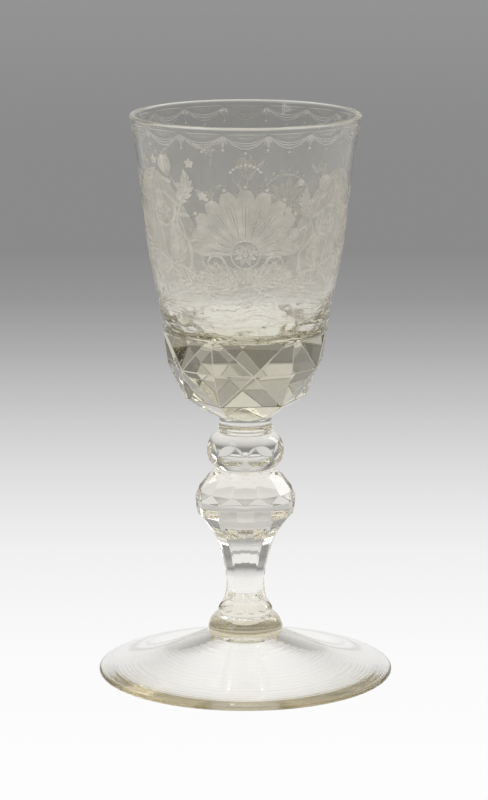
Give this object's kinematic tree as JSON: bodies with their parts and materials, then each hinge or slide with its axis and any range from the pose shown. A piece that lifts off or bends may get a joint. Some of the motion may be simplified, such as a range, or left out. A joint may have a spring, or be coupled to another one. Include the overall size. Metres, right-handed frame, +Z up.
{
  "type": "glass goblet",
  "caption": "Clear glass goblet: tapering engraved bowl on a solid cut base, cut knop, cut inverted baluster stem, base knop and wide trumpet foot.",
  "frame": {"origin": "centre of the foot's underside, on the surface that the goblet stands on", "axes": "+Z up along the goblet's own axis, -Y towards the front of the engraving"},
  "size_m": [0.1046, 0.1046, 0.2],
  "materials": {
    "foot_glass": "blown, clear, faintly grey, with fine rings and a rough pontil mark",
    "stem_glass": "cut and polished, clear",
    "bowl_glass": "polished, clear, with matt wheel engraving"
  },
  "bodies": {
    "root": {"foot": "foot_glass", "base_knop": "stem_glass", "baluster": "stem_glass", "upper_knop": "stem_glass", "merese": "stem_glass", "bowl_collar": "stem_glass", "bowl": "bowl_glass"}
  },
  "joints": []
}
